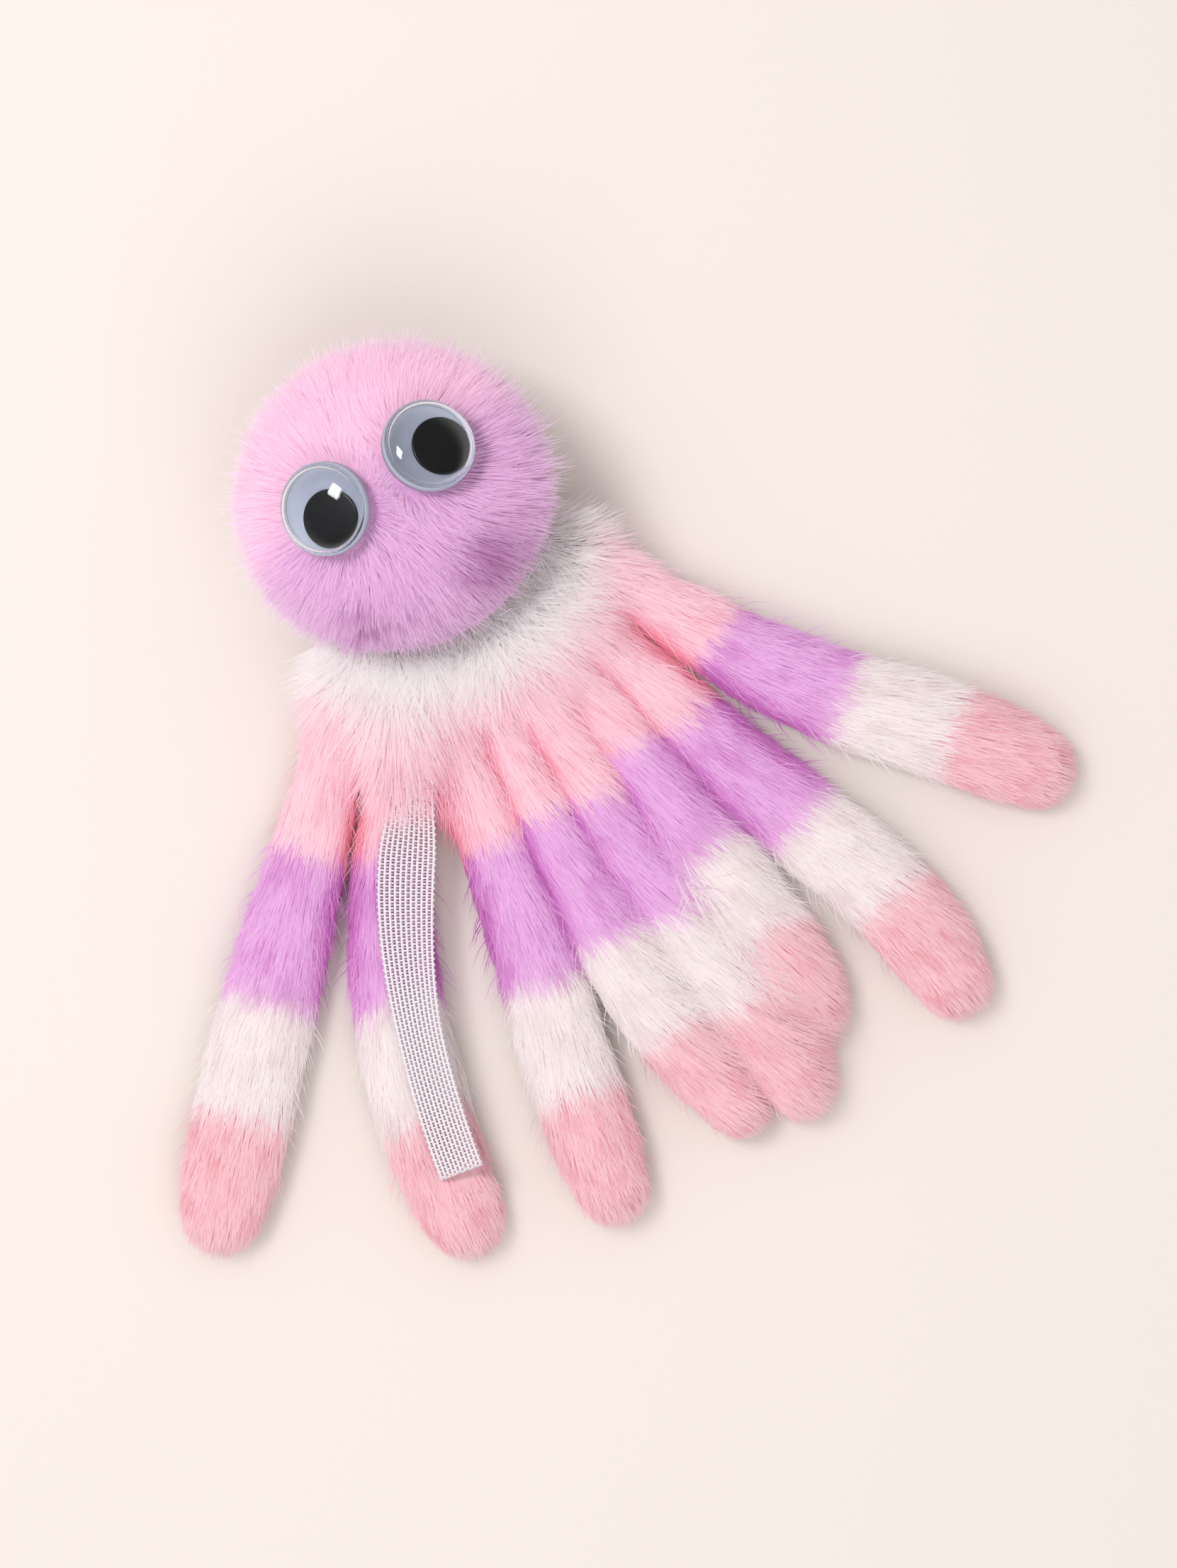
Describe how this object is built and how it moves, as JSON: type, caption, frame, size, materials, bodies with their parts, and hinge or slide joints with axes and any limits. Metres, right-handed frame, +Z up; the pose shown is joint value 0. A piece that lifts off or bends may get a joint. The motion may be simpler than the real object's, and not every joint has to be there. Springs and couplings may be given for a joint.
{
  "type": "plush octopus",
  "caption": "Soft long-pile octopus toy lying on its back, with loose-pupil plastic eyes, striped legs that lift, and a loop of elastic to hang it by.",
  "frame": {"origin": "on the surface that the toy lies on, under the middle of the head", "axes": "+Z up, the way the face looks; the legs point towards -Y; +X across the toy, to the right as the picture shows it"},
  "size_m": [0.1903, 0.1691, 0.0625],
  "materials": {
    "head_pile": "long soft pile, pink at the crown shading to lilac over the face",
    "leg_pile": "long soft pile in broad bands: white, pink, lilac, white and a pink tip",
    "filling": "white polyester fibre",
    "thread": "pale sewing thread",
    "glue": "hot-melt glue",
    "eye_backing": "satin blue-grey plastic",
    "eye_dome": "clear glossy plastic",
    "eye_pupil": "glossy black plastic",
    "elastic": "white open-knit elastic tape"
  },
  "bodies": {
    "head": {"head_cover": "head_pile", "head_stuffing": "filling", "neck_thread": "thread", "left_eye_glue_pad": "glue", "left_eye_backing": "eye_backing", "left_eye_dome": "eye_dome", "right_eye_glue_pad": "glue", "right_eye_backing": "eye_backing", "right_eye_dome": "eye_dome"},
    "leg_1": {"leg_1": "leg_pile"},
    "leg_2": {"leg_2": "leg_pile"},
    "leg_3": {"leg_3": "leg_pile"},
    "leg_4": {"leg_4": "leg_pile"},
    "leg_5": {"leg_5": "leg_pile"},
    "leg_6": {"leg_6": "leg_pile"},
    "leg_7": {"leg_7": "leg_pile"},
    "leg_8": {"leg_8": "leg_pile"},
    "elastic": {"elastic_loop": "elastic"},
    "left_pupil": {"left_eye_pupil": "eye_pupil"},
    "right_pupil": {"right_eye_pupil": "eye_pupil"}
  },
  "joints": [
    {"name": "leg_1_lift", "type": "hinge", "parent": "head", "child": "leg_1", "pos_m": [-0.01874, -0.01962, 0.012], "axis": [-1, 0, 0], "range_deg": [0, 60]},
    {"name": "leg_2_lift", "type": "hinge", "parent": "head", "child": "leg_2", "pos_m": [-0.01406, -0.02321, 0.012], "axis": [-1, 0, 0], "range_deg": [0, 60]},
    {"name": "leg_3_lift", "type": "hinge", "parent": "head", "child": "leg_3", "pos_m": [-0.00871, -0.0257, 0.012], "axis": [-1, 0, 0], "range_deg": [0, 60]},
    {"name": "leg_4_lift", "type": "hinge", "parent": "head", "child": "leg_4", "pos_m": [-0.00295, -0.02697, 0.012], "axis": [-1, 0, 0], "range_deg": [0, 60]},
    {"name": "leg_5_lift", "type": "hinge", "parent": "head", "child": "leg_5", "pos_m": [0.00295, -0.02697, 0.012], "axis": [-1, 0, 0], "range_deg": [0, 60]},
    {"name": "leg_6_lift", "type": "hinge", "parent": "head", "child": "leg_6", "pos_m": [0.00871, -0.0257, 0.012], "axis": [-1, 0, 0], "range_deg": [0, 60]},
    {"name": "leg_7_lift", "type": "hinge", "parent": "head", "child": "leg_7", "pos_m": [0.01406, -0.02321, 0.012], "axis": [-1, 0, 0], "range_deg": [0, 60]},
    {"name": "leg_8_lift", "type": "hinge", "parent": "head", "child": "leg_8", "pos_m": [0.01874, -0.01962, 0.012], "axis": [-1, 0, 0], "range_deg": [0, 60]},
    {"name": "elastic_lift", "type": "hinge", "parent": "leg_2", "child": "elastic", "pos_m": [-0.02018, -0.03579, 0.01407], "axis": [-1, 0, 0], "range_deg": [0, 60]},
    {"name": "left_pupil_roll", "type": "hinge", "parent": "head", "child": "left_pupil", "pos_m": [-0.01203, 0.00375, 0.0561], "axis": [-0.3907, 0.1219, 0.9124], "continuous": true},
    {"name": "right_pupil_roll", "type": "hinge", "parent": "head", "child": "right_pupil", "pos_m": [0.01079, 0.00429, 0.05653], "axis": [0.3502, 0.1392, 0.9263], "continuous": true}
  ]
}
